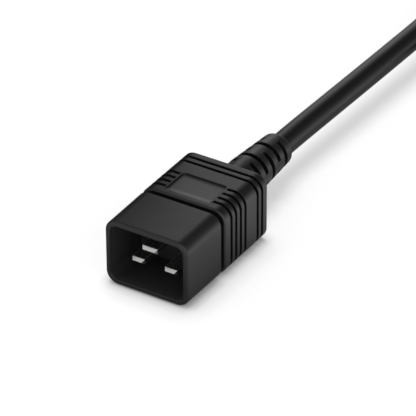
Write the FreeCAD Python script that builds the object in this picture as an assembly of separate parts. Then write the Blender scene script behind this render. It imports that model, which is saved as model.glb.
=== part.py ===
import FreeCAD, Part
import math
import os

# Three-blade mains lead: a moulded plug, its cord laid into a hank, and a matching connector.
# Millimetres, +Z up. The plug lies on its flat side with its mouth towards -Y and its cord towards +Y.
# The origin is under the middle of the plug, on the surface that it lies on.

Vector = FreeCAD.Vector

# Cord and its three cores
cord_diameter = 9.0
core_diameter = 2.9
conductor_diameter = 2.0
jacket_inside_relief = 24.0
core_ring_ease = 0.05

# Grip of the overmould, alike on plug and connector
grip_width = 33.4
grip_height = 25.8
grip_corner = 4.8
grip_length = 27.7
grip_edge_round = 0.8
groove_width = 1.45
groove_depth = 1.5
cut_margin = 1.0
finger_groove_count = 4
finger_groove_first = 4.1
finger_groove_pitch = 3.0
finger_groove_end = 9.4
rear_groove_count = 2
rear_groove_first = 21.1
rear_groove_pitch = 2.95

# Bare label panel sunk into the top of the grip, with a ramp at its front
panel_width = 17.6
panel_start = 2.4
panel_length = 12.2
panel_depth = 0.7
panel_ramp = 3.3
panel_ramp_sag = 0.21
panel_corner = 1.2

# Strain relief: a tapered tail with slots that alternate between its sides and its top and bottom
relief_length = 35.0
relief_root_radius = 7.6
relief_shoulder = 13.0
relief_shoulder_radius = 7.5
relief_tip_radius = 6.25
relief_tip_round = 1.5
slot_count = 5
slot_start = 11.2
slot_pitch = 4.65
slot_width = 2.1
slot_floor_radius = 5.0
side_slot_rib = 5.0
top_slot_rib = 3.4

# Plug shroud: the hard moulding round the mouth
shroud_step = 0.3
shroud_corner = 4.6
shroud_length = 20.9
shroud_draft = 0.15
shroud_wall = 2.0
mouth_corner_ease = 0.3
mouth_depth = 19.5
rim_round = 1.0
mouth_edge_round = 0.4
joint_gap = 2.4
spigot_inset = 2.2
spigot_length = 8.3

# Blades: two in the lower row and the earth above them
blade_thickness = 2.0
line_blade_width = 5.0
earth_blade_width = 6.0
line_spacing = 13.0
earth_rise = 8.0
lower_row_drop = 3.66
line_tip_depth = 4.2
earth_tip_depth = 1.4
blade_tip_length = 1.15
blade_tip_side_inset = 0.75
blade_tip_flat_inset = 0.92

# Crimp barrels behind blades and contacts
barrel_diameter = 3.6
barrel_length = 8.0
barrel_bore_depth = 6.0

# Connector nose and contacts
nose_clearance = 0.35
nose_end_gap = 0.6
nose_edge_round = 0.5
nose_spigot_inset = 1.2
blade_slot_clearance = 0.3
nose_front_wall = 2.5
contact_length = 15.5
contact_sheet = 0.6
contact_clearance = 0.1
contact_strap_width = 3.0
contact_strap_thickness = 1.0

# Hank: an oval of two strands side by side, with a third on top where the cord comes in
strand_pitch = 9.1
hank_radius = 31.6
hank_straight = 122.0
hank_centre_x = 26.0
hank_near_y = 188.4
hank_skin = 0.1
top_strand_start_y = 248.2
tie_width = 12.0
tie_thickness = 1.0
tie_from_far_bend = 33.0

# Connector's place: the tip of its strain relief, and its turn about the vertical
connector_tip_from_hank_centre = 9.5
connector_tip_from_far_bend = 52.0
connector_turn = -8.0

# Cord routes: straight lengths beside the plug, the hank and the connector, and one point between
run_straight_from_plug = 2.8
run_point = (3.65, 164.0, 13.9)
run_joins_hank_y = 218.2
tail_straight_from_hank = 12.5
tail_lift = 0.6
tail_straight_to_connector = 15.0

# Values that follow from the sizes above
cord_radius = cord_diameter / 2
shroud_width = grip_width - 2 * shroud_step
shroud_height = grip_height - 2 * shroud_step
axis_height = grip_height / 2
body_length = shroud_length + joint_gap + grip_length
plug_length = body_length + relief_length
mouth_width = shroud_width - 2 * shroud_wall
mouth_height = shroud_height - 2 * shroud_wall
mouth_corner = shroud_corner - shroud_wall + mouth_corner_ease
lower_row_z = axis_height - lower_row_drop
earth_row_z = lower_row_z + earth_rise
spigot_back = shroud_length + spigot_length
nose_length = mouth_depth - nose_end_gap
nose_back = nose_length + spigot_length
connector_length = nose_length + grip_length + relief_length
strand_radius = cord_radius + hank_skin
lower_strand_z = strand_radius
upper_strand_z = lower_strand_z + strand_pitch
hank_far_y = hank_near_y + hank_straight

# Where each of the three poles sits: across, height, blade width, depth of the tip, angle in the cord
POLES = {
    "earth": (0.0, earth_row_z, earth_blade_width, earth_tip_depth, 90.0),
    "line": (-line_spacing / 2, lower_row_z, line_blade_width, line_tip_depth, 210.0),
    "neutral": (line_spacing / 2, lower_row_z, line_blade_width, line_tip_depth, 330.0),
}


# Basic forms. Each stands on the moulding's axis, with y measured from the front of its own piece.
def rounded_rectangle(width, height, corner, y, middle_x=0.0, middle_z=axis_height):
    """Closed wire across the axis: a rectangle with round corners."""
    right, top = width / 2 - corner, height / 2 - corner
    edges = []
    for turn, (cx, cz) in enumerate([(right, top), (-right, top), (-right, -top), (right, -top)]):
        centre = Vector(middle_x + cx, y, middle_z + cz)
        points = [
            centre + Vector(math.cos(math.radians(a)), 0, math.sin(math.radians(a))) * corner
            for a in (90 * turn, 90 * turn + 45, 90 * turn + 90)
        ]
        edges.append(Part.Arc(*points).toShape())
    joined = []
    for index, edge in enumerate(edges):
        joined.append(edge)
        following = edges[(index + 1) % 4]
        joined.append(Part.makeLine(edge.Vertexes[-1].Point, following.Vertexes[0].Point))
    return Part.Wire(joined)


def prism(width, height, corner, start, end):
    """Straight block with round long edges."""
    face = Part.Face(rounded_rectangle(width, height, corner, start))
    return face.extrude(Vector(0, end - start, 0))


def block(width, height, start, end, middle_x=0.0, middle_z=axis_height):
    """Plain rectangular block."""
    corner = Vector(middle_x - width / 2, start, middle_z - height / 2)
    return Part.makeBox(width, end - start, height, corner)


def rod(radius, start, end, middle_x=0.0, middle_z=axis_height):
    """Round bar along the axis."""
    return Part.makeCylinder(radius, end - start, Vector(middle_x, start, middle_z), Vector(0, 1, 0))


def edges_at(shape, y):
    """Edges that lie wholly in the plane across the axis at y."""
    return [e for e in shape.Edges if abs(e.BoundBox.YMin - y) < 1e-4 and abs(e.BoundBox.YMax - y) < 1e-4]


def rounded_tube_path(points):
    """Wire of straight runs joined by tangent arcs, each as large as its two runs allow."""
    edges = []
    radii = []
    start = points[0]
    for before, corner, after in zip(points, points[1:], points[2:]):
        inward = (corner - before).normalize()
        outward = (after - corner).normalize()
        half_turn = inward.getAngle(outward) / 2
        reach = 0.45 * min((corner - before).Length, (after - corner).Length)
        radius = reach / math.tan(half_turn)
        middle = corner + (outward - inward).normalize() * (radius / math.cos(half_turn) - radius)
        arc_start = corner - inward * reach
        arc_end = corner + outward * reach
        edges.append(Part.LineSegment(start, arc_start).toShape())
        edges.append(Part.Arc(arc_start, middle, arc_end).toShape())
        radii.append(radius)
        start = arc_end
    edges.append(Part.LineSegment(start, points[-1]).toShape())
    return Part.Wire(edges), radii


def tube(points, radius, name):
    """Solid round bar along a rounded path; prints its bend radii and compares its volume."""
    path, radii = rounded_tube_path(points)
    circle = Part.Circle(points[0], points[1] - points[0], radius)
    solid = path.makePipeShell([Part.Wire(circle.toShape())], True, False)
    expected = math.pi * radius**2 * path.Length
    listed = ", ".join(f"{value:.0f}" for value in radii)
    ratio = solid.Volume / expected
    print(f"{name}: radii {listed} mm, length {path.Length:.1f} mm, volume ratio {ratio:.4f}")
    return solid


# Overmould, with y from the front of the piece that it closes
def grip_groove(front, offset, open_half_width):
    """Band cut round the grip; with an open half width it leaves the middle of top and bottom whole."""
    start = front + offset - groove_width / 2
    end = start + groove_width
    outside = 2 * cut_margin
    band = prism(grip_width + outside, grip_height + outside, grip_corner + cut_margin, start, end)
    inset = 2 * groove_depth
    band = band.cut(prism(grip_width - inset, grip_height - inset, grip_corner - groove_depth, start, end))
    if open_half_width > 0:
        band = band.cut(block(2 * open_half_width, 2 * grip_height, start, end))
    return band


def label_panel(front):
    """Pocket for the bare panel: a hollow ramp at the front, a flat floor and rounded corners."""
    top = axis_height + grip_height / 2
    floor = top - panel_depth
    above = top + cut_margin
    start = front + panel_start
    ramp_end = start + panel_ramp
    end = start + panel_length
    ramp_middle = Vector(0, (start + ramp_end) / 2, (top + floor) / 2 - panel_ramp_sag)
    outline = [
        Part.Arc(Vector(0, start, top), ramp_middle, Vector(0, ramp_end, floor)).toShape(),
        Part.makeLine(Vector(0, ramp_end, floor), Vector(0, end, floor)),
        Part.makeLine(Vector(0, end, floor), Vector(0, end, above)),
        Part.makeLine(Vector(0, end, above), Vector(0, start, above)),
        Part.makeLine(Vector(0, start, above), Vector(0, start, top)),
    ]
    face = Part.Face(Part.Wire(outline))
    face.translate(Vector(-panel_width / 2, 0, 0))
    pocket = face.extrude(Vector(panel_width, 0, 0))
    uprights = [
        e for e in pocket.Edges
        if e.BoundBox.XLength < 1e-4 and e.BoundBox.YLength < 1e-4 and e.BoundBox.YMin > end - 1e-3
    ]
    return pocket.makeFillet(panel_corner, uprights)


def strain_relief(root):
    """Turned tail with a rounded tip, cut by slots in turn from the sides and from top and bottom."""
    tip = root + relief_length
    quarter = relief_tip_round * (1 - math.sqrt(0.5))
    shoulder = Vector(relief_shoulder_radius, root + relief_shoulder, 0)
    round_start = Vector(relief_tip_radius, tip - relief_tip_round, 0)
    round_middle = Vector(relief_tip_radius - quarter, tip - quarter, 0)
    round_end = Vector(relief_tip_radius - relief_tip_round, tip, 0)
    outline = [
        Part.makeLine(Vector(0, root, 0), Vector(relief_root_radius, root, 0)),
        Part.makeLine(Vector(relief_root_radius, root, 0), shoulder),
        Part.makeLine(shoulder, round_start),
        Part.Arc(round_start, round_middle, round_end).toShape(),
        Part.makeLine(round_end, Vector(0, tip, 0)),
        Part.makeLine(Vector(0, tip, 0), Vector(0, root, 0)),
    ]
    tail = Part.Face(Part.Wire(outline)).revolve(Vector(0, 0, 0), Vector(0, 1, 0), 360)
    tail.translate(Vector(0, 0, axis_height))
    reach = 4 * relief_root_radius
    for index in range(slot_count):
        start = root + slot_start + index * slot_pitch - slot_width / 2
        end = start + slot_width
        ring = rod(2 * relief_root_radius, start, end).cut(rod(slot_floor_radius, start, end))
        if index % 2 == 0:
            ring = ring.cut(block(side_slot_rib, reach, start, end))
        else:
            ring = ring.cut(block(reach, top_slot_rib, start, end))
        tail = tail.cut(ring)
    return tail


def overmould(front, inner_pieces):
    """Grip and strain relief as one moulding round the pieces that it holds."""
    back = front + grip_length
    grip = prism(grip_width, grip_height, grip_corner, front, back)
    grip = grip.makeFillet(grip_edge_round, edges_at(grip, front) + edges_at(grip, back))
    grip = grip.cut(label_panel(front))
    for index in range(finger_groove_count):
        offset = finger_groove_first + index * finger_groove_pitch
        grip = grip.cut(grip_groove(front, offset, finger_groove_end))
    for index in range(rear_groove_count):
        grip = grip.cut(grip_groove(front, rear_groove_first + index * rear_groove_pitch, 0))
    moulding = grip.fuse(strain_relief(back)).removeSplitter()
    return moulding.cut(Part.makeCompound(inner_pieces))


# Plug pieces
def plug_shroud():
    """Open box round the blades with a back wall, and a smaller spigot behind it for the overmould."""
    widen = 2 * shroud_draft
    front = rounded_rectangle(shroud_width, shroud_height, shroud_corner, 0)
    rear = rounded_rectangle(shroud_width + widen, shroud_height + widen, shroud_corner, shroud_length)
    shell = Part.makeLoft([front, rear], True, True)
    shell = shell.makeFillet(rim_round, edges_at(shell, 0))
    mouth = prism(mouth_width, mouth_height, mouth_corner, -cut_margin, mouth_depth)
    shell = shell.cut(mouth)
    inner_rim = [
        e for e in edges_at(shell, 0)
        if e.BoundBox.XMax < mouth_width / 2 + 0.01 and e.BoundBox.XMin > -mouth_width / 2 - 0.01
        and e.BoundBox.ZMax < axis_height + mouth_height / 2 + 0.01
        and e.BoundBox.ZMin > axis_height - mouth_height / 2 - 0.01
    ]
    shell = shell.makeFillet(mouth_edge_round, inner_rim)
    spigot = prism(
        shroud_width - 2 * spigot_inset, shroud_height - 2 * spigot_inset, shroud_corner - spigot_inset,
        shroud_length, spigot_back,
    )
    shell = shell.fuse(spigot).removeSplitter()
    for across, height, width, _, _ in POLES.values():
        start, end = mouth_depth - cut_margin, spigot_back + cut_margin
        shell = shell.cut(block(width, blade_thickness, start, end, across, height))
    return shell


def barrel(back, across, height):
    """Crimp barrel that starts at the back face of the hard moulding, open towards the cord."""
    bore_start = back + barrel_length - barrel_bore_depth
    sleeve = rod(barrel_diameter / 2, back, back + barrel_length, across, height)
    return sleeve.cut(rod(conductor_diameter / 2, bore_start, back + barrel_length, across, height))


def blade(pole):
    """Flat pin with a tip that tapers on all four sides, and its crimp barrel."""
    across, height, width, tip, _ = POLES[pole]
    tip_width = width - 2 * blade_tip_side_inset
    tip_thickness = blade_thickness - 2 * blade_tip_flat_inset
    ends = [(tip_width, tip_thickness, tip), (width, blade_thickness, tip + blade_tip_length)]
    outlines = [
        Part.makePolygon([
            Vector(across + sx * wide / 2, y, height + sz * thick / 2)
            for sx, sz in ((-1, -1), (1, -1), (1, 1), (-1, 1), (-1, -1))
        ])
        for wide, thick, y in ends
    ]
    point = Part.makeLoft(outlines, True, True)
    flat = block(width, blade_thickness, tip + blade_tip_length, spigot_back, across, height)
    return point.fuse(flat).fuse(barrel(spigot_back, across, height)).removeSplitter()


def core(pole, hard_back, jacket_start, name):
    """Insulated core from its crimp barrel to its place in the cord, with its bare end in the barrel."""
    across, height, _, _, angle = POLES[pole]
    barrel_end = hard_back + barrel_length
    ring = core_diameter / math.sqrt(3) + core_ring_ease
    cord_x = ring * math.cos(math.radians(angle))
    cord_z = axis_height + ring * math.sin(math.radians(angle))
    lead = (jacket_start - barrel_end) / 4
    points = [
        Vector(across, barrel_end, height),
        Vector(across, barrel_end + lead, height),
        Vector(cord_x, jacket_start - lead, cord_z),
        Vector(cord_x, jacket_start, cord_z),
    ]
    insulated = tube(points, core_diameter / 2, name)
    bare = rod(conductor_diameter / 2, barrel_end - barrel_bore_depth, barrel_end, across, height)
    return insulated.fuse(bare)


# Connector pieces, with y from the front of the nose
def connector_body():
    """Hard nose that fits a plug's mouth, with a slot and a contact chamber for each pole."""
    shrink = 2 * nose_clearance
    nose = prism(
        mouth_width - shrink, mouth_height - shrink, mouth_corner - nose_clearance, 0, nose_length
    )
    nose = nose.makeFillet(nose_edge_round, edges_at(nose, 0))
    inset = shrink + 2 * nose_spigot_inset
    spigot = prism(
        mouth_width - inset, mouth_height - inset, mouth_corner - nose_clearance - nose_spigot_inset,
        nose_length, nose_back,
    )
    body = nose.fuse(spigot).removeSplitter()
    for across, height, width, _, _ in POLES.values():
        slot = 2 * blade_slot_clearance
        way = block(width + slot, blade_thickness + slot, -cut_margin, nose_front_wall, across, height)
        body = body.cut(way)
        wide, thick = contact_size(width)
        chamber_end = nose_front_wall + contact_length
        body = body.cut(block(wide, thick, nose_front_wall, chamber_end, across, height))
        strap = block(contact_strap_width, contact_strap_thickness, chamber_end, nose_back, across, height)
        body = body.cut(strap)
    return body


def contact_size(blade_width):
    """Outside of a contact's sleeve round a blade."""
    around = 2 * (contact_clearance + contact_sheet)
    return blade_width + around, blade_thickness + around


def contact(pole):
    """Spring sleeve folded from sheet, closed at its back by a strap that ends in a crimp barrel."""
    across, height, width, _, _ = POLES[pole]
    wide, thick = contact_size(width)
    end = nose_front_wall + contact_length
    sleeve = block(wide, thick, nose_front_wall, end, across, height)
    hollow = 2 * contact_sheet
    inside = block(wide - hollow, thick - hollow, nose_front_wall, end - contact_sheet, across, height)
    strap = block(contact_strap_width, contact_strap_thickness, end, nose_back, across, height)
    return sleeve.cut(inside).fuse(strap).fuse(barrel(nose_back, across, height)).removeSplitter()


def placed_on_floor(shape):
    """Turn and move a connector piece to where the connector lies inside the hank."""
    moved = shape.copy()
    moved.translate(Vector(0, -connector_length, 0))
    moved.rotate(Vector(0, 0, 0), Vector(0, 0, 1), connector_turn)
    moved.translate(connector_tip)
    return moved


# Hank and tie
def strand_hull(centres, radius, middle_x, y):
    """Wire across the strands: arcs of the outer strands joined by their common tangents."""
    edges = []
    count = len(centres)
    spots = [Vector(middle_x + across, y, height) for across, height in centres]
    normals = []
    for index in range(count):
        along = (spots[(index + 1) % count] - spots[index]).normalize()
        normals.append(Vector(along.z, 0, -along.x))
    for index in range(count):
        spot = spots[index]
        first, last = normals[index - 1], normals[index]
        if count == 2:
            middle = (spot - spots[1 - index]).normalize()
        else:
            middle = (first + last).normalize()
        arc = Part.Arc(spot + first * radius, spot + middle * radius, spot + last * radius)
        edges.append(arc.toShape())
        tangent_end = spots[(index + 1) % count] + last * radius
        edges.append(Part.makeLine(spot + last * radius, tangent_end))
    return Part.Wire(edges)


LOWER_PAIR = [(-strand_pitch / 2, lower_strand_z), (strand_pitch / 2, lower_strand_z)]
STACK = LOWER_PAIR + [(0.0, upper_strand_z)]


def hank_run(centres, side, start, end):
    """Straight stretch of strands on the left (-1) or right (1) of the oval."""
    face = Part.Face(strand_hull(centres, strand_radius, hank_centre_x + side * hank_radius, start))
    return face.extrude(Vector(0, end - start, 0))


def hank_bend(centres, y, side):
    """Half turn of strands about the oval's centre at y, starting from one side."""
    face = Part.Face(strand_hull(centres, strand_radius, hank_centre_x + side * hank_radius, y))
    return face.revolve(Vector(hank_centre_x, y, 0), Vector(0, 0, 1), 180)


def tie_block(radius, floor):
    """Stretch of the left run as long as the tie, at a given strand radius, above a given floor."""
    start = hank_far_y - tie_from_far_bend - tie_width / 2
    middle = hank_centre_x - hank_radius
    run = Part.Face(strand_hull(STACK, radius, middle, start)).extrude(Vector(0, tie_width, 0))
    wide = 6 * strand_pitch
    above = Part.makeBox(wide, tie_width, wide, Vector(middle - wide / 2, start, floor))
    return run.common(above)


def cord_hank():
    """One closed solid of the wound strands, with room under it for the tie."""
    right_step_y = hank_near_y + hank_straight / 2
    pieces = [
        hank_run(LOWER_PAIR, -1, hank_near_y, top_strand_start_y),
        hank_run(STACK, -1, top_strand_start_y, hank_far_y),
        hank_bend(STACK, hank_far_y, 1),
        hank_run(STACK, 1, right_step_y, hank_far_y),
        hank_run(LOWER_PAIR, 1, hank_near_y, right_step_y),
        hank_bend(LOWER_PAIR, hank_near_y, -1),
    ]
    whole = pieces[0]
    for piece in pieces[1:]:
        whole = whole.fuse(piece)
    whole = whole.removeSplitter()
    return whole.cut(tie_block(strand_radius, -tie_thickness).cut(tie_block(strand_radius, tie_thickness)))


def hank_tie():
    """Closed strap round the three strands of the left run, flat against the floor side."""
    outer = tie_block(strand_radius + tie_thickness, 0.0)
    return outer.cut(tie_block(strand_radius, tie_thickness))


# Points of the cord's two free routes
plug_tip_y = plug_length / 2
left_run_x = hank_centre_x - hank_radius
RUN_POINTS = [
    Vector(0, plug_tip_y - jacket_inside_relief, axis_height),
    Vector(0, plug_tip_y + run_straight_from_plug, axis_height),
    Vector(*run_point),
    Vector(left_run_x, run_joins_hank_y, upper_strand_z),
    Vector(left_run_x, top_strand_start_y, upper_strand_z),
]

connector_tip = Vector(
    hank_centre_x + connector_tip_from_hank_centre, hank_far_y - connector_tip_from_far_bend, 0
)
connector_axis = Vector(-math.sin(math.radians(connector_turn)), math.cos(math.radians(connector_turn)), 0)
tip_on_axis = connector_tip + Vector(0, 0, axis_height)
inner_strand_x = hank_centre_x + hank_radius - strand_pitch / 2
TAIL_POINTS = [
    Vector(inner_strand_x, hank_far_y + tail_straight_from_hank, lower_strand_z),
    Vector(inner_strand_x, hank_far_y - tail_straight_from_hank, lower_strand_z + tail_lift),
    tip_on_axis + connector_axis * tail_straight_to_connector,
    tip_on_axis - connector_axis * jacket_inside_relief,
]


def build():
    """All pieces by name, in the part's own frame."""
    plug_pieces = {"plug_shroud": plug_shroud()}
    connector_pieces = {"connector_body": connector_body()}
    plug_jacket_start = plug_length - jacket_inside_relief
    connector_jacket_start = connector_length - jacket_inside_relief
    for pole in POLES:
        plug_pieces[f"{pole}_pin"] = blade(pole)
        plug_core = f"plug_{pole}_core"
        plug_pieces[plug_core] = core(pole, spigot_back, plug_jacket_start, plug_core)
        connector_pieces[f"{pole}_contact"] = contact(pole)
        connector_core = f"connector_{pole}_core"
        connector_pieces[connector_core] = core(pole, nose_back, connector_jacket_start, connector_core)
    grip_front = shroud_length + joint_gap
    plug_pieces["plug_overmould"] = overmould(grip_front, list(plug_pieces.values()))
    connector_pieces["connector_overmould"] = overmould(nose_length, list(connector_pieces.values()))

    pieces = {}
    for name, shape in plug_pieces.items():
        shape.translate(Vector(0, -plug_length / 2, 0))
        pieces[name] = shape
    for name, shape in connector_pieces.items():
        pieces[name] = placed_on_floor(shape)
    run = tube(RUN_POINTS, cord_radius, "cord_run")
    tail = tube(TAIL_POINTS, cord_radius, "cord_tail")
    hank = cord_hank()
    pieces["plug_overmould"] = pieces["plug_overmould"].cut(run)
    pieces["connector_overmould"] = pieces["connector_overmould"].cut(tail)
    pieces["cord_run"] = run
    pieces["cord_tail"] = tail.cut(hank)
    pieces["cord_hank"] = hank
    pieces["hank_tie"] = hank_tie()
    return pieces


os.makedirs("parts", exist_ok=True)
for node, piece in build().items():
    if piece.ShapeType == "Compound" and len(piece.Solids) == 1:
        piece = piece.Solids[0]
    print(f"{node}: {len(piece.Solids)} solid, valid {piece.isValid()}, {piece.Volume:.0f} mm3")
    piece.exportStep(f"parts/{node}.step")
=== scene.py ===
import bpy
import math
from mathutils import Matrix, Vector


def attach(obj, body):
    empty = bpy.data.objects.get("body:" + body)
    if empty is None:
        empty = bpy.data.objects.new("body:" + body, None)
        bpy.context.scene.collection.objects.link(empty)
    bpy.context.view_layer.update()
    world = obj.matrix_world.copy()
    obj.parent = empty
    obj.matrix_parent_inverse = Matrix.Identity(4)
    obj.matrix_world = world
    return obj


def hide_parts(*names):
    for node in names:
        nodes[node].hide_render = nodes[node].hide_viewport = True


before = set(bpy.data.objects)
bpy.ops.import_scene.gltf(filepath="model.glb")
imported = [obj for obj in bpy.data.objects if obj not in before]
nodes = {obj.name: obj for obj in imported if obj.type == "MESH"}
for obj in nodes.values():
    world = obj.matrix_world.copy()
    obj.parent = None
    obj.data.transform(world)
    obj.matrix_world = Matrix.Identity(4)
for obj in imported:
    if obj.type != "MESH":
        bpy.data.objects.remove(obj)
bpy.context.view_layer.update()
MM = 0.001

# Cord: its diameter in millimetres, and how finely its tube is divided
CORD_DIAMETER = 9.0
CORD_ROUNDNESS = 12
CORD_STEPS = 10

# Start of the cord in millimetres: inside the plug, straight out of it, then control points to the hank
AXIS_Z = 12.9
PLUG_TIP_Y = 43.0
JACKET_INSIDE = 24.0
STRAIGHT_OUT = 2.8
OUTGOING_POINTS = [(1.06, 72.6, 13.13), (2.52, 109.0, 13.43), (4.4, 164.0, 13.9)]

# Hank in millimetres, as in the part's own source: an oval of two strands, and a third that lands on them
STRAND_PITCH = 9.1
LOWER_Z = 4.6
UPPER_Z = LOWER_Z + STRAND_PITCH
HANK_X = 26.0
HANK_RADIUS = 31.6
HANK_NEAR_Y = 188.4
HANK_FAR_Y = 310.4
LEFT_RUN_X = HANK_X - HANK_RADIUS
RIGHT_RUN_X = HANK_X + HANK_RADIUS
LANDING_YS = (218.2, 248.2)

# Strands of the hank: offsets of the lower two, where the third nests between them, and counts of points
OUTER = STRAND_PITCH / 2
INNER = -STRAND_PITCH / 2
NESTED_Z = LOWER_Z + STRAND_PITCH * math.sqrt(0.75)
NESTED_START_Y = 254.2
NESTED_RUN_POINTS = 3
LEFT_RUN_POINTS = 7
RIGHT_RUN_POINTS = 9
BEND_POINTS = 8

# Right run, in shares of it: the second turn moves inward, then the first comes down outside it
MOVE_START = 0.08
MOVE_SPAN = 0.40
DESCENT_START = 0.5
DESCENT_SPAN = 0.45
NESTED_ANGLE = math.radians(60)

# Strap under the strands in millimetres: its lift, how far to each side that holds, and how far it eases
TIE_Y = HANK_FAR_Y - 33.0
TIE_LIFT = 1.0
TIE_REACH = 8.0
TIE_EASE = 28.0

# Connector inside the hank, and the tail of cord that leads to it: lengths in millimetres
CONNECTOR_TURN = math.radians(-8.0)
CONNECTOR_TIP = Vector((HANK_X + 9.5, HANK_FAR_Y - 52.0, AXIS_Z))
CONNECTOR_AXIS = Vector((-math.sin(CONNECTOR_TURN), math.cos(CONNECTOR_TURN), 0))
TAIL_FROM_HANK = 12.5
TAIL_LIFT = 0.6
TAIL_TO_CONNECTOR = 15.0

# Black mouldings: base shade, mean roughness, size and depth of the grain in metres, specular level
HARD_PLASTIC = dict(shade=0.009, roughness=0.33, grain_size=0.00025, grain_depth=0.000006, mirror=0.5)
SOFT_PLASTIC = dict(shade=0.005, roughness=0.35, grain_size=0.0003, grain_depth=0.000008, mirror=0.66)
JACKET_PLASTIC = dict(shade=0.004, roughness=0.34, grain_size=0.0004, grain_depth=0.000006, mirror=0.6)
BLUE_TINT = 1.03

# Clouds of uneven roughness, with their size in metres, and rubbed edges that are smoother and lighter
CLOUD_SIZE = 0.007
CLOUD_ROUGHNESS = 0.08
RUBBED_SMOOTHER = 0.06
RUBBED_LIGHTER = 1.8

# Wear by the dot product of the softened and the flat normal: where it starts, and where it is full
WEAR_START = 0.98
WEAR_FULL = 0.75
BEVEL_SAMPLES = 6

# Radius in metres within which an edge is softened and worn
MOULDED_EDGE = 0.0002
BLADE_EDGE = 0.0003

# Lighter patches: boxes in millimetres, the panel's measured from the grip's front, and their shades
GRIP_AND_RELIEF = 62.7
PANEL_BOX = ((-8.75, 8.75), (2.4, 14.55), (24.0, 25.75))
PANEL_SHADE = 0.018
# Painted light: the inside of the mouth is coloured lighter, standing in for the light that reaches into
# it
MOUTH_PAINTED_LIGHT_BOX = ((-14.5, 14.5), (-42.5, -23.0), (2.2, 23.6))
MOUTH_PAINTED_LIGHT = 0.027

# Nickel plate: least roughness, what drawing marks and rubbed edges add, and the marks' scale on each axis
PLATE_ROUGHNESS = 0.18
MARK_ROUGHNESS = 0.14
RUBBED_PLATE_ROUGHNESS = 0.3
MARK_SCALE = (9, 0.3, 9)

# Camera found from the photo's outline: degrees and metres, with lens and sensor in millimetres
CAMERA_AZIMUTH = 32.03
CAMERA_ELEVATION = 32.92
CAMERA_ROLL = -0.315
CAMERA_TARGET = Vector((-0.00127, -0.00181, 0.01194))
CAMERA_DISTANCE = 1.1659
CAMERA_LENS = 294.2
CAMERA_SENSOR = 36.0

# Soft sun overhead: where it comes from, its width in degrees, and its strength
SUN_FROM = Vector((-0.14, 0.12, 0.98))
SUN_WIDTH = 36.0
SUN_STRENGTH = 2.1

# Sky: its level, and changes of it, each with a direction, the edges of the change and its amount
SKY_LEVEL = 0.50
SKY_CHANGES = (
    # Dim at the back right, for the dark bands along the upper right edges
    ((0.35, 0.70, 0.62), (0.78, 0.96), -0.43),
    # Dim overhead
    ((0, 0, 1), (0.62, 0.85), -0.40),
    # Lit at the front right, for the right sides
    ((0.80, -0.50, 0.33), (0.25, 0.85), 0.5),
    # Small light high at the front left, for the slopes of the blades' tips
    ((-0.45, -0.36, 0.82), (0.945, 0.99), 0.62),
    # Small light low at the back left, for the ramp of the panel
    ((-0.45, 0.87, 0.22), (0.975, 0.995), 0.4),
    # A little lighter towards the horizon
    ((0, 0, -1), (-0.32, 0.0), 0.1),
    # Small light at the back left, for the tops
    ((-0.53, 0.72, 0.45), (0.955, 0.997), 0.45),
)

# Floor in metres; its glow fades where something is above it within the reach, a painted contact shadow
FLOOR_HALF = 4.0
FLOOR_SHADE = 0.52
FLOOR_GLOW = 0.46
PAINTED_SHADOW_REACH = 0.0045

# Cards that only mirror reflections see: corners in metres, and how dark they are
BACK_CARD = ((-0.181, 0.123, 0), (-0.120, 0.180, 0), (-0.120, 0.180, 0.110), (-0.181, 0.123, 0.110))
LEFT_CARD = ((-0.049, -0.050, 0), (-0.049, 0.053, 0), (-0.049, 0.053, 0.075), (-0.049, -0.050, 0.075))
# Dark sheet on the floor, seen only in mirror reflections: painted shadow near the object, and a darker
# floor to its left
PAINTED_SHADOW_CARD = ((-1.0, -1.0, 0.0003), (1.0, -1.0, 0.0003), (1.0, 1.0, 0.0003), (-1.0, 1.0, 0.0003))
CARD_DARKNESS = 0.80

# Fades of the painted shadow card: direction, edges in metres, and the factor before and after them
PAINTED_SHADOW_FADES = (
    # Painted shadow fades out towards the right
    ((1, -0.05, 0), (0.010, 0.074), (1, 0)),
    # Weaker in front of the mouth
    ((0, -1, 0), (0.055, 0.085), (1, 0.4)),
    # Weaker beside the grip and behind it
    ((0, 1, 0), (-0.010, 0.020), (1, 0.7)),
    # Stronger again beside the cord
    ((0, 1, 0), (0.032, 0.056), (1, 1.3)),
)


# Camera
def add_camera():
    """Camera at the photo's angle, with its slight roll."""
    azimuth = math.radians(CAMERA_AZIMUTH)
    elevation = math.radians(CAMERA_ELEVATION)
    roll = math.radians(CAMERA_ROLL)
    back = Vector((
        math.sin(azimuth) * math.cos(elevation),
        -math.cos(azimuth) * math.cos(elevation),
        math.sin(elevation),
    ))
    right = Vector((math.cos(azimuth), math.sin(azimuth), 0))
    up = back.cross(right)
    rolled_right = right * math.cos(roll) + up * math.sin(roll)
    rolled_up = up * math.cos(roll) - right * math.sin(roll)
    data = bpy.data.cameras.new("camera")
    data.lens = CAMERA_LENS
    data.sensor_width = CAMERA_SENSOR
    camera = bpy.data.objects.new("camera", data)
    turn = Matrix((rolled_right, rolled_up, back)).transposed().to_4x4()
    camera.matrix_world = Matrix.Translation(CAMERA_TARGET + back * CAMERA_DISTANCE) @ turn
    bpy.context.scene.collection.objects.link(camera)
    bpy.context.scene.camera = camera


# Cord route
def smooth(value):
    """Ease from 0 to 1 as value goes from 0 to 1."""
    value = min(max(value, 0.0), 1.0)
    return value * value * (3 - 2 * value)


def lift_at_tie(y):
    """Height that the strap under the strands gives them near the tie."""
    return TIE_LIFT * (1 - smooth((abs(y - TIE_Y) - TIE_REACH) / TIE_EASE))


def left_run(outward, height, start_y, count):
    """Control points up the left run at an outward offset and a height."""
    step = (HANK_FAR_Y - start_y) / count
    ys = [start_y + step * (index + 0.5) for index in range(count)]
    return [(LEFT_RUN_X - outward, y, height + lift_at_tie(y)) for y in ys]


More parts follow.
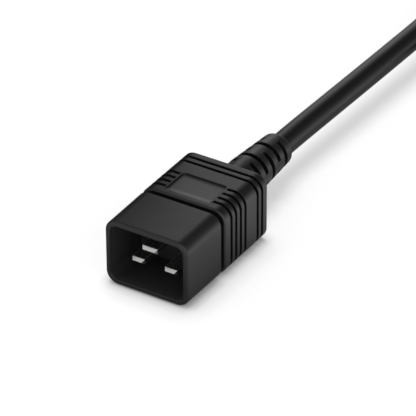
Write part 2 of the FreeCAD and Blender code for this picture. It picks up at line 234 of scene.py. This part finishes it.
def bend(centre_y, side, outward, height):
    """Control points round a half turn; their polygon touches the strand's own circle."""
    step = math.pi / BEND_POINTS
    radius = (HANK_RADIUS + outward) / math.cos(step / 2)
    points = []
    for index in range(BEND_POINTS):
        angle = step * (index + 0.5)
        x = HANK_X + side * radius * math.cos(angle)
        y = centre_y - side * radius * math.sin(angle)
        points.append((x, y, height))
    return points


def far_bend(outward, height):
    return bend(HANK_FAR_Y, -1, outward, height)


def near_bend(outward):
    return bend(HANK_NEAR_Y, 1, outward, LOWER_Z)


def second_turn(share):
    """Offset and rise of the second turn on the right run: from the outer to the inner lower place."""
    return OUTER - STRAND_PITCH * smooth((share - MOVE_START) / MOVE_SPAN), 0.0


def first_turn(share):
    """Offset and rise of the first turn on the right run: over the second, then down outside it."""
    below = second_turn(share)[0]
    if share < DESCENT_START:
        return 0.0, math.sqrt(STRAND_PITCH**2 - below**2)
    lean = NESTED_ANGLE * (1 - smooth((share - DESCENT_START) / DESCENT_SPAN))
    return below + STRAND_PITCH * math.cos(lean), STRAND_PITCH * math.sin(lean)


def right_run(turn):
    """Control points down the right run; turn gives the offset and the rise at a share of it."""
    points = []
    for index in range(RIGHT_RUN_POINTS):
        share = (index + 0.5) / RIGHT_RUN_POINTS
        outward, rise = turn(share)
        y = HANK_FAR_Y - share * (HANK_FAR_Y - HANK_NEAR_Y)
        points.append((RIGHT_RUN_X + outward, y, LOWER_Z + rise))
    return points


def cord_points():
    """Control points of the whole cord, in millimetres, from inside the plug to inside the connector."""
    points = [(0, PLUG_TIP_Y - JACKET_INSIDE, AXIS_Z), (0, PLUG_TIP_Y + STRAIGHT_OUT, AXIS_Z)]
    points += OUTGOING_POINTS
    points += [(LEFT_RUN_X, y, UPPER_Z) for y in LANDING_YS]
    points += left_run(0, NESTED_Z, NESTED_START_Y, NESTED_RUN_POINTS) + far_bend(0, NESTED_Z)
    points += right_run(first_turn) + near_bend(OUTER)
    points += left_run(OUTER, LOWER_Z, HANK_NEAR_Y, LEFT_RUN_POINTS) + far_bend(OUTER, LOWER_Z)
    points += right_run(second_turn) + near_bend(INNER)
    points += left_run(INNER, LOWER_Z, HANK_NEAR_Y, LEFT_RUN_POINTS) + far_bend(INNER, LOWER_Z)
    points.append((RIGHT_RUN_X + INNER, HANK_FAR_Y - TAIL_FROM_HANK, LOWER_Z + TAIL_LIFT))
    points.append(CONNECTOR_TIP + CONNECTOR_AXIS * TAIL_TO_CONNECTOR)
    points.append(CONNECTOR_TIP - CONNECTOR_AXIS * JACKET_INSIDE)
    return points


def add_cord(material):
    """Whole cord on one smooth curve, in place of the three solids of the cord."""
    points = cord_points()
    data = bpy.data.curves.new("power_cord", "CURVE")
    data.dimensions = "3D"
    data.bevel_depth = CORD_DIAMETER / 2 * MM
    data.bevel_resolution = CORD_ROUNDNESS
    data.use_fill_caps = True
    spline = data.splines.new("NURBS")
    spline.points.add(len(points) - 1)
    for spot, point in zip(spline.points, points):
        spot.co = (*(value * MM for value in point), 1)
    spline.order_u = 3
    spline.use_endpoint_u = True
    spline.resolution_u = CORD_STEPS
    cord = bpy.data.objects.new("power_cord", data)
    bpy.context.scene.collection.objects.link(cord)
    data.materials.append(material)
    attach(cord, "root")
    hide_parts("cord_run", "cord_hank", "cord_tail")


# Node helpers
def new_material(name):
    material = bpy.data.materials.new(name)
    material.use_nodes = True
    return material, material.node_tree


def new_surface(name):
    """New material with its tree, its shader and the position on the piece."""
    material, tree = new_material(name)
    position = tree.nodes.new("ShaderNodeTexCoord").outputs["Object"]
    return material, tree, tree.nodes["Principled BSDF"], position


def smooth_step(tree, vector, side, edges, levels):
    """Output that goes from one level to another as a vector's share along a side crosses two edges."""
    along = tree.nodes.new("ShaderNodeVectorMath")
    along.operation = "DOT_PRODUCT"
    along.inputs[1].default_value = side
    tree.links.new(vector, along.inputs[0])
    step = tree.nodes.new("ShaderNodeMapRange")
    step.interpolation_type = "SMOOTHSTEP"
    step.inputs["From Min"].default_value, step.inputs["From Max"].default_value = edges
    step.inputs["To Min"].default_value, step.inputs["To Max"].default_value = levels
    tree.links.new(along.outputs["Value"], step.inputs["Value"])
    return step.outputs["Result"]


def combine(tree, operation, *values):
    """Output of a calculation with one to three values, each a number or an output."""
    node = tree.nodes.new("ShaderNodeMath")
    node.operation = operation
    for socket, value in zip(node.inputs, values):
        if isinstance(value, (int, float)):
            socket.default_value = value
        else:
            tree.links.new(value, socket)
    return node.outputs["Value"]


def add_noise(tree, vector, size):
    """Output of a noise with spots of about one size, in metres."""
    noise = tree.nodes.new("ShaderNodeTexNoise")
    noise.inputs["Scale"].default_value = 1 / size
    tree.links.new(vector, noise.inputs["Vector"])
    return noise.outputs["Fac"]


def sine_ribs(tree, position, axis, pitch):
    """Output from 0 to 1 that rises and falls along an axis once in each pitch, in metres."""
    parts = tree.nodes.new("ShaderNodeSeparateXYZ")
    tree.links.new(position, parts.inputs["Vector"])
    turn = combine(tree, "MULTIPLY", parts.outputs[axis], 2 * math.pi / pitch)
    return combine(tree, "MULTIPLY_ADD", combine(tree, "SINE", turn), 0.5, 0.5)


def add_bump(tree, height, depth, normal=None):
    """Normal that a height of 0 to 1 gives at a depth in metres."""
    bump = tree.nodes.new("ShaderNodeBump")
    bump.inputs["Strength"].default_value = 1
    bump.inputs["Distance"].default_value = depth
    tree.links.new(height, bump.inputs["Height"])
    if normal is not None:
        tree.links.new(normal, bump.inputs["Normal"])
    return bump.outputs["Normal"]


def mixed_colour(tree, share, first, second):
    """Colour between two, by a share; each is three numbers or an output."""
    mix = tree.nodes.new("ShaderNodeMix")
    mix.data_type = "RGBA"
    tree.links.new(share, mix.inputs["Factor"])
    for key, colour in (("A", first), ("B", second)):
        socket = next(place for place in mix.inputs if place.name == key and place.type == "RGBA")
        if isinstance(colour, tuple):
            socket.default_value = (*colour, 1)
        else:
            tree.links.new(colour, socket)
    return next(place for place in mix.outputs if place.type == "RGBA")


def worn_edges(tree, radius):
    """Softened normal of an edge, and a share that is 1 where the surface turns within the radius."""
    soft = tree.nodes.new("ShaderNodeBevel")
    soft.samples = BEVEL_SAMPLES
    soft.inputs["Radius"].default_value = radius
    flat = tree.nodes.new("ShaderNodeNewGeometry")
    match = tree.nodes.new("ShaderNodeVectorMath")
    match.operation = "DOT_PRODUCT"
    tree.links.new(soft.outputs["Normal"], match.inputs[0])
    tree.links.new(flat.outputs["Normal"], match.inputs[1])
    share = tree.nodes.new("ShaderNodeMapRange")
    share.inputs["From Min"].default_value = WEAR_START
    share.inputs["From Max"].default_value = WEAR_FULL
    tree.links.new(match.outputs["Value"], share.inputs["Value"])
    return soft.outputs["Normal"], share.outputs["Result"]


def box_mask(tree, position, box, turn, shift):
    """Share that is 1 inside a box, in millimetres, in the frame of a turned and shifted moulding."""
    place = tree.nodes.new("ShaderNodeMapping")
    place.inputs["Rotation"].default_value = (0, 0, -turn)
    place.inputs["Location"].default_value = shift
    tree.links.new(position, place.inputs["Vector"])
    parts = tree.nodes.new("ShaderNodeSeparateXYZ")
    tree.links.new(place.outputs["Vector"], parts.inputs["Vector"])
    inside = []
    for axis, (low, high) in zip("XYZ", box):
        middle = (low + high) / 2 * MM
        half = (high - low) / 2 * MM
        inside.append(combine(tree, "COMPARE", parts.outputs[axis], middle, half))
    across, along, upward = inside
    return combine(tree, "MULTIPLY", combine(tree, "MULTIPLY", across, along), upward)


# Materials
def moulded_plastic(name, shade, roughness, grain_size, grain_depth, mirror, patch=None):
    """Black moulding: fine spark-eroded grain, uneven gloss, rubbed edges, perhaps a lighter patch of its
    own tone or of painted light.
    """
    material, tree, shader, position = new_surface(name)
    shader.inputs["Specular IOR Level"].default_value = mirror
    soft_normal, wear = worn_edges(tree, MOULDED_EDGE)
    grain = add_noise(tree, position, grain_size)
    tree.links.new(add_bump(tree, grain, grain_depth, soft_normal), shader.inputs["Normal"])
    cloud = add_noise(tree, position, CLOUD_SIZE)
    uneven = combine(tree, "MULTIPLY_ADD", cloud, CLOUD_ROUGHNESS, roughness - CLOUD_ROUGHNESS / 2)
    uneven = combine(tree, "MULTIPLY_ADD", wear, -RUBBED_SMOOTHER, uneven)
    tree.links.new(uneven, shader.inputs["Roughness"])
    plain = (shade, shade, shade * BLUE_TINT)
    rubbed = tuple(RUBBED_LIGHTER * value for value in plain)
    colour = mixed_colour(tree, wear, plain, rubbed)
    if patch is not None:
        # A patch is the panel's own lighter tone, or painted light inside the mouth
        box, turn, shift, patch_tone_or_painted_light = patch
        inside = box_mask(tree, position, box, turn, shift)
        colour = mixed_colour(tree, inside, colour, (patch_tone_or_painted_light, patch_tone_or_painted_light, patch_tone_or_painted_light))
    tree.links.new(colour, shader.inputs["Base Color"])
    return material


def core_insulation(name, colour, second=None):
    """Core insulation, cloudy in one colour; a second colour runs along it in bands."""
    material, tree, shader, position = new_surface(name)
    shader.inputs["Roughness"].default_value = 0.4
    cloud = add_noise(tree, position, size=0.001)
    darker = tuple(0.7 * value for value in colour)
    mixed = mixed_colour(tree, cloud, darker, colour)
    if second is not None:
        bands = combine(tree, "GREATER_THAN", sine_ribs(tree, position, "X", pitch=0.0028), 0.5)
        mixed = mixed_colour(tree, bands, mixed, second)
    tree.links.new(mixed, shader.inputs["Base Color"])
    tree.links.new(add_bump(tree, cloud, depth=0.00002), shader.inputs["Normal"])
    return material


def woven_strap():
    """Ribbed webbing: ribs across the strap's width over finer threads, with painted shade in the weave's
    hollows.
    """
    material, tree, shader, position = new_surface("tie_strap")
    shader.inputs["Roughness"].default_value = 0.8
    ribs = sine_ribs(tree, position, "Y", pitch=0.0013)
    threads = combine(tree, "MULTIPLY", ribs, sine_ribs(tree, position, "Z", pitch=0.0009))
    fuzz = add_noise(tree, position, size=0.0003)
    normal = add_bump(tree, ribs, depth=0.0001)
    normal = add_bump(tree, threads, depth=0.00008, normal=normal)
    normal = add_bump(tree, fuzz, depth=0.00004, normal=normal)
    tree.links.new(normal, shader.inputs["Normal"])
    # Painted shade: darker where the weave is low, lighter on its crests
    colour = mixed_colour(tree, threads, (0.016, 0.016, 0.017), (0.034, 0.034, 0.036))
    tree.links.new(colour, shader.inputs["Base Color"])
    return material


def nickel_plate():
    """Bright plate with faint drawing marks along the blade and dull rubbed edges."""
    material, tree, shader, position = new_surface("nickel_plate")
    shader.inputs["Metallic"].default_value = 1
    stretch = tree.nodes.new("ShaderNodeMapping")
    stretch.inputs["Scale"].default_value = MARK_SCALE
    tree.links.new(position, stretch.inputs["Vector"])
    marks = add_noise(tree, stretch.outputs["Vector"], size=0.001)
    soft_normal, wear = worn_edges(tree, BLADE_EDGE)
    tree.links.new(soft_normal, shader.inputs["Normal"])
    uneven = combine(tree, "MULTIPLY_ADD", marks, MARK_ROUGHNESS, PLATE_ROUGHNESS)
    uneven = combine(tree, "MULTIPLY_ADD", wear, RUBBED_PLATE_ROUGHNESS, uneven)
    tree.links.new(uneven, shader.inputs["Roughness"])
    colour = mixed_colour(tree, marks, (0.62, 0.615, 0.60), (0.69, 0.685, 0.67))
    tree.links.new(colour, shader.inputs["Base Color"])
    return material


def paint_nodes():
    """Give every node its material; the jacket is returned for the cord."""
    jacket = moulded_plastic("cord_jacket", **JACKET_PLASTIC)
    far_tip = Matrix.Rotation(-CONNECTOR_TURN, 3, "Z") @ CONNECTOR_TIP
    far_shift = Vector((-far_tip.x, GRIP_AND_RELIEF - far_tip.y, 0)) * MM
    near_shift = Vector((0, GRIP_AND_RELIEF - PLUG_TIP_Y, 0)) * MM
    near_panel = (PANEL_BOX, 0, near_shift, PANEL_SHADE)
    far_panel = (PANEL_BOX, CONNECTOR_TURN, far_shift, PANEL_SHADE)
    # Painted light inside the mouth
    mouth = (MOUTH_PAINTED_LIGHT_BOX, 0, (0, 0, 0), MOUTH_PAINTED_LIGHT)
    moulding = {
        "plug_shroud": moulded_plastic("shroud_hard_plastic", **HARD_PLASTIC, patch=mouth),
        "connector_body": moulded_plastic("nose_hard_plastic", **HARD_PLASTIC),
        "plug_overmould": moulded_plastic("plug_soft_plastic", **SOFT_PLASTIC, patch=near_panel),
        "connector_overmould": moulded_plastic("connector_soft_plastic", **SOFT_PLASTIC, patch=far_panel),
    }
    core = {
        "earth": core_insulation("earth_core", (0.05, 0.25, 0.04), second=(0.65, 0.48, 0.03)),
        "line": core_insulation("line_core", (0.13, 0.05, 0.02)),
        "neutral": core_insulation("neutral_core", (0.03, 0.11, 0.42)),
    }
    nickel = nickel_plate()
    strap = woven_strap()
    for name, node in nodes.items():
        if name in moulding:
            material = moulding[name]
        elif name.endswith("_core"):
            material = core[name.split("_")[1]]
        elif name.endswith("_pin") or name.endswith("_contact"):
            material = nickel
        elif name == "hank_tie":
            material = strap
        else:
            material = jacket
        node.data.materials.clear()
        node.data.materials.append(material)
    return jacket


# Stage and light
def add_stage_mesh(name, corners, material):
    mesh = bpy.data.meshes.new(name)
    mesh.from_pydata(corners, [], [(0, 1, 2, 3)])
    mesh.materials.append(material)
    piece = bpy.data.objects.new(name, mesh)
    bpy.context.scene.collection.objects.link(piece)
    return piece


def add_floor():
    """Floor that glows as a light table does, less where the object is close above it: a painted contact
    shadow.
    """
    material, tree = new_material("pale_floor")
    tree.nodes.remove(tree.nodes["Principled BSDF"])
    matt = tree.nodes.new("ShaderNodeBsdfDiffuse")
    matt.inputs["Color"].default_value = (FLOOR_SHADE, FLOOR_SHADE, FLOOR_SHADE, 1)
    glow = tree.nodes.new("ShaderNodeEmission")
    glow.inputs["Color"].default_value = (1, 1, 1, 1)
    # Painted contact shadow: ambient occlusion dims the glow near the object
    contact = tree.nodes.new("ShaderNodeAmbientOcclusion")
    contact.inputs["Distance"].default_value = PAINTED_SHADOW_REACH
    strength = combine(tree, "MULTIPLY", contact.outputs["AO"], FLOOR_GLOW)
    tree.links.new(strength, glow.inputs["Strength"])
    glowing = tree.nodes.new("ShaderNodeAddShader")
    tree.links.new(matt.outputs["BSDF"], glowing.inputs[0])
    tree.links.new(glow.outputs["Emission"], glowing.inputs[1])
    tree.links.new(glowing.outputs["Shader"], tree.nodes["Material Output"].inputs["Surface"])
    half = FLOOR_HALF
    corners = [(-half, -half, 0), (half, -half, 0), (half, half, 0), (-half, half, 0)]
    add_stage_mesh("floor", corners, material)


def add_card(name, corners, fades=()):
    """Dark card that only mirror reflections see; each fade changes its darkness along a direction."""
    material, tree = new_material(name)
    tree.nodes.remove(tree.nodes["Principled BSDF"])
    black = tree.nodes.new("ShaderNodeBsdfDiffuse")
    black.inputs["Color"].default_value = (0, 0, 0, 1)
    clear = tree.nodes.new("ShaderNodeBsdfTransparent")
    choice = tree.nodes.new("ShaderNodeMixShader")
    choice.inputs["Fac"].default_value = CARD_DARKNESS
    if fades:
        position = tree.nodes.new("ShaderNodeTexCoord").outputs["Object"]
        darkness = CARD_DARKNESS
        for side, edges, levels in fades:
            fade = smooth_step(tree, position, side, edges, levels)
            darkness = combine(tree, "MULTIPLY", darkness, fade)
        tree.links.new(darkness, choice.inputs["Fac"])
    tree.links.new(clear.outputs["BSDF"], choice.inputs[1])
    tree.links.new(black.outputs["BSDF"], choice.inputs[2])
    tree.links.new(choice.outputs["Shader"], tree.nodes["Material Output"].inputs["Surface"])
    card = add_stage_mesh(name, corners, material)
    card.visible_camera = False
    card.visible_diffuse = False
    card.visible_shadow = False
    card.visible_transmission = False


def add_sky():
    """Studio with lit and dim sides."""
    world = bpy.data.worlds.new("studio")
    world.use_nodes = True
    tree = world.node_tree
    direction = tree.nodes.new("ShaderNodeTexCoord").outputs["Generated"]
    level = SKY_LEVEL
    for side, edges, change in SKY_CHANGES:
        level = combine(tree, "ADD", level, smooth_step(tree, direction, side, edges, (0, change)))
    studio = tree.nodes["Background"]
    studio.inputs["Color"].default_value = (1, 1, 1, 1)
    tree.links.new(combine(tree, "MAXIMUM", level, 0.0), studio.inputs["Strength"])
    bpy.context.scene.world = world


def add_sun():
    """Broad lamp overhead for the floor and the shadows; mirror reflections show the sky alone."""
    data = bpy.data.lights.new("soft_sun", "SUN")
    data.energy = SUN_STRENGTH
    data.angle = math.radians(SUN_WIDTH)
    sun = bpy.data.objects.new("soft_sun", data)
    sun.rotation_euler = SUN_FROM.to_track_quat("Z", "Y").to_euler()
    sun.visible_glossy = False
    bpy.context.scene.collection.objects.link(sun)


bpy.context.scene.view_settings.view_transform = "Standard"
add_camera()
jacket = paint_nodes()
add_cord(jacket)
add_floor()
add_card("back_card", BACK_CARD)
add_card("left_card", LEFT_CARD)
# Painted shadow on the floor, which only mirror reflections show
add_card("painted_shadow_card", PAINTED_SHADOW_CARD, PAINTED_SHADOW_FADES)
add_sky()
add_sun()
